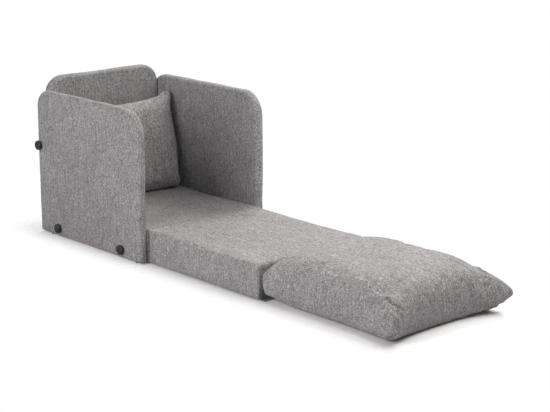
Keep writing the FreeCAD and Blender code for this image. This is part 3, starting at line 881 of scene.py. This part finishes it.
pillow = {
    "wide": 0.562,
    "tall": 0.446,
    # inset and half thickness from the seam to the middle
    "edge": ((0, 0), (0.001, 0.010), (0.006, 0.021), (0.016, 0.033), (0.034, 0.044), (0.060, 0.052),
             (0.100, 0.057), (0.150, 0.059)),
    "half": 0.056,
    "belly": 0.14,            # how much fuller the lower part is
    "bow": (-0.014, 0.024),   # how far the sides, and the top, pull in halfway
    "bottomBow": -0.35,       # the bottom's share of that
    # for the lower and the upper ears
    "earReach": (-0.004, 0.012),
    "earPinch": (0.25, 0.45),
    "earWide": 0.10,
    # folds that run in from each corner: how far they reach sideways and up, and how deep they are
    "creases": ((0.0714, 0.1260, 0.006), (0.1428, 0.0672, 0.005), (0.1092, 0.1134, 0.003)),
    "creaseStart": 0.022,
    "lean": math.radians(12),
    "turn": math.radians(6),
    "cornerRound": 0.008,
    "cornerFirm": 0.004,
    "voxel": 0.008,
    "cap": 0.009,
    "waves": ((7, 51, 1), (18, 57, 0.5)),
    "uneven": 0.0024,
    "rearGap": 0.0015,
    "widest": 0.3030,         # between the arms
    "zipBack": 0.030,         # how far behind its middle plane the zip is looked for
    "fill": 0.6,
}


def pillowTilt():
    return Matrix.Rotation(-pillow["turn"], 3, "Z") @ Matrix.Rotation(-pillow["lean"], 3, "X")


def pillowForm(halfWide, halfTall):
    style = pillow
    face = [(inset, depth, 0) for inset, depth in style["edge"]] + [(halfTall, style["half"], 0)]
    profile = [(inset, -depth, 0) for inset, depth, mark in reversed(face[1:])] + face
    shape = ringShape((-halfWide, -halfTall), (halfWide, halfTall), [style["cornerRound"]] * 4, profile,
                      style["cornerFirm"], lambda a, b, depth: (a, -depth, b))
    piece = newPiece("pillowCover", shape)
    spots = spotsOf(piece)
    share = spots[:, ::2] / (halfWide, halfTall)
    bowed = 1 - np.clip(np.abs(share[:, ::-1]), 0, 1) ** 2
    bow = np.tile(style["bow"], (len(spots), 1))
    bow[share[:, 1] <= 0, 1] *= style["bottomBow"]
    spots[:, ::2] -= share ** 3 * bowed * bow
    spots[:, 1] *= 1 - style["belly"] * share[:, 1] * (1 - 0.3 * share[:, 1] ** 2)
    for x in (-1, 1):
        for z in (-1, 1):
            corner = np.array((x * halfWide, z * halfTall))
            near = np.clip(1 - np.linalg.norm(spots[:, ::2] - corner, axis=1) / style["earWide"], 0, 1) ** 2
            spots[:, ::2] += np.array((x, z)) * (style["earReach"][max(z, 0)] * near)[:, None]
            spots[:, 1] *= 1 - style["earPinch"][max(z, 0)] * near
    moveTo(piece, spots)
    return piece


def makePillow():
    style = pillow
    low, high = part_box("pillow_cover")
    halfWide, halfTall = style["wide"] / 2, style["tall"] / 2
    piece = pillowForm(halfWide, halfTall)
    remeshed(piece, style["voxel"])
    puffed(piece, style["cap"])
    subdivided(piece)
    spots, away = spotsOf(piece), spotsOf(piece, "vector")
    lift = lumps(spots, style["waves"]) * style["uneven"]
    moveTo(piece, spots + away * (lift * fadeIn(np.abs(spots[:, 1]), 0.004, 0.03))[:, None])
    start = style["creaseStart"]
    for x in (-1, 1):
        for z in (-1, 1):
            for sideways, up, deep in style["creases"]:
                path = [(x * (halfWide - start), -0.012, z * (halfTall - start)),
                        (x * (halfWide - sideways), -0.052, z * (halfTall - up))]
                # folds with a little shade painted into them
                crease(piece, path, 0.010, deep, 0.3, 0.6, (1, 1, 0))
    spots = spotsOf(piece) @ np.array(pillowTilt()).T
    # set down on the seat and against the back panel
    rear = high.y - style["rearGap"] - spots[:, 1].max()
    middle = Vector(((low.x + high.x) / 2, rear, low.z - spots[:, 2].min()))
    spots += np.array(middle)
    spots[:, 0] = np.clip(spots[:, 0], -style["widest"], style["widest"])
    moveTo(piece, spots)
    return finishPiece(piece, "pillow_cover", "back_pillow", ["pillow_filling"]), middle


pillowCover, pillowMiddle = makePillow()
print("pillow made")


hinge = {
    "steps": 24,
    "thick": 0.0010,
    "bevel": 0.0008,
    "below": 0.0002,          # under the tops of the sections
    # the lines between which each one turns, in the gap between its leaves, and its flat size
    "seatLines": ((0, 0.33020, 0.15), (0, 0.32995, 0.15)),
    "seatFlat": (0.570, 0.082),
    "footLines": ((0, -0.3599, 0), (0, -0.3600, 0)),
    "footFlat": (0.570, 0.066),
}


def makeHinge(name, leaves, path):
    # a strip of webbing, sewn to two pieces and folded at the line between them
    low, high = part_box(leaves[0])
    shape = bmesh.new()
    rows = []
    for step in range(hinge["steps"] + 1):
        x = low.x + (high.x - low.x) * step / hinge["steps"]
        rows.append([shape.verts.new((x, y, z)) for y, z in path])
    joinRings(shape, rows)
    closeEnds(shape, rows)
    piece = newPiece(name, shape)
    piece.data.materials.append(materials["hinge_fabric"])
    piece.data.shade_flat()
    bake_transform(piece)
    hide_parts(*leaves)


def makeHinges():
    low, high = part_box("seat_hinge_front_leaf")
    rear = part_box("seat_hinge_rear_leaf")[1]
    thick, bevel, top = hinge["thick"], hinge["bevel"], high.z - hinge["below"]
    outer = [(low.y, low.z), (low.y, high.z - thick), (low.y + bevel, top), (rear.y - bevel, top),
             (rear.y, high.z - thick), (rear.y, low.z)]
    inside = high.z - thick - 2 * hinge["below"]
    inner = [(rear.y - thick, low.z), (rear.y - thick, inside),
             (low.y + thick, inside), (low.y + thick, low.z)]
    makeHinge("seatHinge", ["seat_hinge_front_leaf", "seat_hinge_rear_leaf"], outer + inner)
    low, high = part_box("foot_hinge_front_leaf")
    side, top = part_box("foot_hinge_rear_leaf")
    path = [(low.y, low.z), (top.y, low.z), (top.y, top.z),
            (side.y, top.z), (side.y, high.z), (low.y, high.z)]
    makeHinge("footHinge", ["foot_hinge_rear_leaf", "foot_hinge_front_leaf"], path)


makeHinges()
print("hinges made")


lining = {
    "count": 24,
    "clear": 0.0002,          # below the rails
    "crown": 0.0001,
}


def makeLining(name, node, body):
    # a thin dust lining tacked under the frame
    low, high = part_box(node)
    shape = bmesh.new()
    count = lining["count"]
    for level, crown in ((low.z, 0), (high.z - lining["clear"], lining["crown"])):
        for i in range(count + 1):
            for j in range(count + 1):
                x = low.x + (high.x - low.x) * i / count
                y = low.y + (high.y - low.y) * j / count
                rim = min(i, j, count - i, count - j) / count
                shape.verts.new((x, y, level + crown * rim))
    shape.verts.ensure_lookup_table()
    row = count + 1

    def at(level, i, j):
        return shape.verts[level * row * row + i * row + j]

    for i in range(count):
        for j in range(count):
            shape.faces.new((at(0, i, j), at(0, i, j + 1), at(0, i + 1, j + 1), at(0, i + 1, j)))
            shape.faces.new((at(1, i, j), at(1, i + 1, j), at(1, i + 1, j + 1), at(1, i, j + 1)))
    around = [(i, 0) for i in range(count)] + [(count, j) for j in range(count)]
    around += [(i, count) for i in range(count, 0, -1)] + [(0, j) for j in range(count, 0, -1)]
    for first, second in zip(around, around[1:] + around[:1]):
        shape.faces.new((at(0, *first), at(0, *second), at(1, *second), at(1, *first)))
    piece = finishPiece(newPiece(name, shape), node, body)


makeLining("baseLining", "base_lining", "chair")
makeLining("middleLining", "middle_lining", "middle_section")
print("linings made")


knob = {
    "steps": 48,
    # radius and height above the washer, from the neck to the middle of the face
    "profile": (
        (0.0042, 0.0000), (0.0108, 0.0000), (0.0110, 0.0004), (0.0110, 0.0046), (0.0114, 0.0050),
        (0.0196, 0.0050), (0.0205, 0.0054), (0.0210, 0.0062), (0.0211, 0.0075), (0.0211, 0.0115),
        (0.0209, 0.0130), (0.0203, 0.0143), (0.0192, 0.0151), (0.0176, 0.0156), (0.0168, 0.0155),
        (0.0163, 0.0156), (0.0120, 0.0164), (0.0060, 0.0169), (0.0000, 0.0170),
    ),
}


def makeKnob(side, spot):
    node = f"{side}_{spot}_knob"
    low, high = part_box(node)
    centre = (low + high) / 2
    foot, way = (high.x, -1) if side == "left" else (low.x, 1)
    angles = [math.tau * step / knob["steps"] for step in range(knob["steps"])]
    shape = bmesh.new()
    rings = []
    for radius, rise in knob["profile"]:
        rings.append([shape.verts.new((foot + way * rise, centre.y + radius * math.cos(angle),
                                       centre.z + radius * math.sin(angle))) for angle in angles])
    joinRings(shape, rings)
    shape.faces.new(rings[0])
    bmesh.ops.remove_doubles(shape, verts=rings[-1], dist=0.0001)
    finishPiece(newPiece(f"{side}{spot.capitalize()}Knob", shape), node, f"{side}_{spot}_clamp")


for side in ("left", "right"):
    for spot in ("front", "rear", "upper"):
        makeKnob(side, spot)
print("knobs made")


zipper = {
    "tapeHalf": 0.006,
    "tapeThick": 0.0009,
    "tapeSteps": 42,
    "endGap": 0.004,          # from the ends of the tape to the first and last tooth
    "tooth": 0.0028,
    "toothShare": 0.7,        # how much of the pitch a tooth fills
    "toothWide": 0.0042,
    "toothThick": 0.0012,
    "toothOff": 0.0008,       # teeth stand to one side and the other in turn
    "toothRise": 0.0004,
    "slider": (0.011, 0.008, 0.0016),
    "bridge": (0.004, 0.002, 0.0016),
    "bridgeRise": 0.0014,
    "pull": (0.022, 0.0046, 0.0009),
    "pullRise": 0.0018,
    # half length, and where the slider is parked
    "foot": (0.210, -0.112),
    "pillow": (0.205, -0.100),
}


def addBox(shape, centre, size, turn):
    made = bmesh.ops.create_cube(shape, size=1)["verts"]
    for corner in made:
        spot = Vector(corner.co[axis] * size[axis] for axis in range(3))
        corner.co = centre + turn @ spot
    bmesh.ops.bevel(shape, geom=list({edge for corner in made for edge in corner.link_edges}),
                    offset=min(size) * 0.2, segments=1, affect="EDGES")


def makeZip(name, node, body, surface, half, sliderAt):
    # A zip that follows a surface: surface(run) gives the spot, and the ways along it, up the tape and out.
    thick = zipper["tapeThick"]
    tape = bmesh.new()
    rows = []
    for step in range(zipper["tapeSteps"] + 1):
        spot, along, up, out = surface(-half + 2 * half * step / zipper["tapeSteps"])
        rows.append([tape.verts.new(spot + up * u * zipper["tapeHalf"] + out * o * thick)
                     for u, o in ((-1, 0), (1, 0), (1, 1), (-1, 1))])
    joinRings(tape, rows)
    closeEnds(tape, rows)
    run = -half + zipper["endGap"]
    side = 1
    while run < half - zipper["endGap"]:
        spot, along, up, out = surface(run)
        turn = Matrix((along, up, out)).transposed()
        addBox(tape, spot + up * side * zipper["toothOff"] + out * (thick + zipper["toothRise"]),
               (zipper["tooth"] * zipper["toothShare"], zipper["toothWide"], zipper["toothThick"]), turn)
        run += zipper["tooth"]
        side = -side
    finishPiece(newPiece(name, tape), node, body)
    slider = bmesh.new()
    spot, along, up, out = surface(sliderAt)
    turn = Matrix((along, up, out)).transposed()
    rise = thick + zipper["toothThick"]
    addBox(slider, spot + out * rise, zipper["slider"], turn)
    addBox(slider, spot + out * (rise + zipper["bridgeRise"]), zipper["bridge"], turn)
    pull = zipper["pull"]
    addBox(slider, spot + out * (rise + zipper["pullRise"]) - along * pull[0] / 2, pull, turn)
    finishPiece(newPiece(f"{name}Slider", slider), f"{node}_slider", body)


def onSurface(piece, place):
    # the nearest spot of a piece to a place, and the way out of it
    found, spot, away, index = piece.closest_point_on_mesh(place)
    return spot, away


def footZipAt(run):
    level = footCushion["zipLevel"]
    spot, away = onSurface(footCover, Vector((run, -0.350, level)))
    return Vector((run, spot.y, level)), Vector((1, 0, 0)), Vector((0, 0, 1)), Vector((0, 1, 0))


def pillowZipAt(run):
    tilt = pillowTilt()
    place = pillowMiddle + tilt @ Vector((run, pillow["zipBack"], -pillow["tall"] / 2 - 0.01))
    spot, out = onSurface(pillowCover, place)
    along = tilt @ Vector((1, 0, 0))
    along = (along - out * along.dot(out)).normalized()
    return spot, along, out.cross(along), out


makeZip("footZip", "foot_zip", "foot_cushion", footZipAt, *zipper["foot"])
makeZip("pillowZip", "pillow_zip", "back_pillow", pillowZipAt, *zipper["pillow"])
print("zips made")


stage = {
    "floorSize": 40,
    "floorShade": 0.80,          # as the light meets it, and as it is seen
    "floorSeen": 1.08,
    "footprint": (0.27, 1.13, 1),
    "floorFades": (0.0, 0.19),   # how far outside that the floor goes over into the white background
    "worldLight": 0.12,
    "worldTint": (0.985, 0.97, 1.0),
}
# place, size, power, tint and aim
lamps = {
    "keyLamp": ((2.4, 1.1, 2.8), 2.2, 126, (1, 0.985, 0.955), (0, -0.1, 0.25)),
    "frontLamp": ((0.6, -1.4, 2.2), 1.8, 41, (1, 0.99, 0.965), (0, -1.25, 0.15)),
    "sideLamp": ((-3.4, -0.1, 1.6), 2.2, 76, (1, 0.985, 0.98), (0, -0.1, 0.25)),
}


def makeStage():
    mesh = bpy.data.meshes.new("floor")
    size = stage["floorSize"]
    corners = [(-size, -size, 0), (size, -size, 0), (size, size, 0), (-size, size, 0)]
    mesh.from_pydata(corners, [], [(0, 1, 2, 3)])
    floor = bpy.data.objects.new("floor", mesh)
    bpy.context.scene.collection.objects.link(floor)
    material, start = newMaterial("paleFloor")
    path = start.node("ShaderNodeLightPath", {}, {}, "Is Camera Ray")
    where = placeOf(start)
    off = start.node("ShaderNodeVectorMath", {"operation": "ABSOLUTE"}, {0: where})
    off = start.node("ShaderNodeVectorMath", {"operation": "SUBTRACT"}, {0: off, 1: stage["footprint"]})
    off = start.node("ShaderNodeVectorMath", {"operation": "MAXIMUM"}, {0: off, 1: (0, 0, 0)})
    far = start.node("ShaderNodeVectorMath", {"operation": "LENGTH"}, {0: off}, "Value")
    near = start.node("ShaderNodeBsdfDiffuse", {}, {"Color": grey(stage["floorSeen"])})
    clear = start.node("ShaderNodeBsdfTransparent")
    seen = start.node("ShaderNodeMixShader", {}, {0: far.smooth(*stage["floorFades"]), 1: near, 2: clear})
    real = start.node("ShaderNodeBsdfDiffuse", {}, {"Color": grey(stage["floorShade"])})
    mixed = start.node("ShaderNodeMixShader", {}, {0: path, 1: real, 2: seen})
    start.node("ShaderNodeOutputMaterial", {}, {"Surface": mixed})
    mesh.materials.append(material)

    world = bpy.data.worlds.new("studio")
    bpy.context.scene.world = world
    world.use_nodes = True
    world.node_tree.nodes.clear()
    sky = Signal(world.node_tree)
    light = sky.node("ShaderNodeLightPath", {}, {}, "Is Camera Ray")
    outputs = light.socket.node.outputs
    shown = light.maths("MAXIMUM", Signal(sky.tree, outputs["Is Glossy Ray"]))
    shown = shown.maths("MAXIMUM", Signal(sky.tree, outputs["Is Transmission Ray"]))
    strength = shown.between(stage["worldLight"], 1.0)
    tint = shown.blend(grey(1, stage["worldTint"]), grey(1))
    glow = sky.node("ShaderNodeBackground", {}, {"Color": tint, "Strength": strength})
    sky.node("ShaderNodeOutputWorld", {}, {"Surface": glow})


def addLamp(name, place, size, power, tint, aim):
    data = bpy.data.lights.new(name, "AREA")
    data.energy = power
    data.size = size
    data.color = tint
    lamp = bpy.data.objects.new(name, data)
    bpy.context.scene.collection.objects.link(lamp)
    lamp.location = place
    lamp.rotation_euler = (Vector(aim) - Vector(place)).to_track_quat("-Z", "Y").to_euler()


makeStage()
for name, facts in lamps.items():
    addLamp(name, *facts)

view = {
    "azimuth": math.radians(-42.232),
    "elevation": math.radians(14.444),
    "distance": 6.2775,
    "target": (0.012, -0.1141, 0.2821),
    "sensor": 36,
    "lens": 1532.5 / 550 * 36,
}
camera = bpy.data.objects.new("camera", bpy.data.cameras.new("camera"))
bpy.context.scene.collection.objects.link(camera)
camera.data.sensor_width = view["sensor"]
camera.data.lens = view["lens"]
away = Vector((math.sin(view["azimuth"]) * math.cos(view["elevation"]),
               -math.cos(view["azimuth"]) * math.cos(view["elevation"]), math.sin(view["elevation"])))
camera.location = Vector(view["target"]) + away * view["distance"]
camera.rotation_euler = (-away).to_track_quat("-Z", "Y").to_euler()
bpy.context.scene.camera = camera
bpy.context.scene.view_settings.view_transform = "Standard"
print("camera and lamps placed")
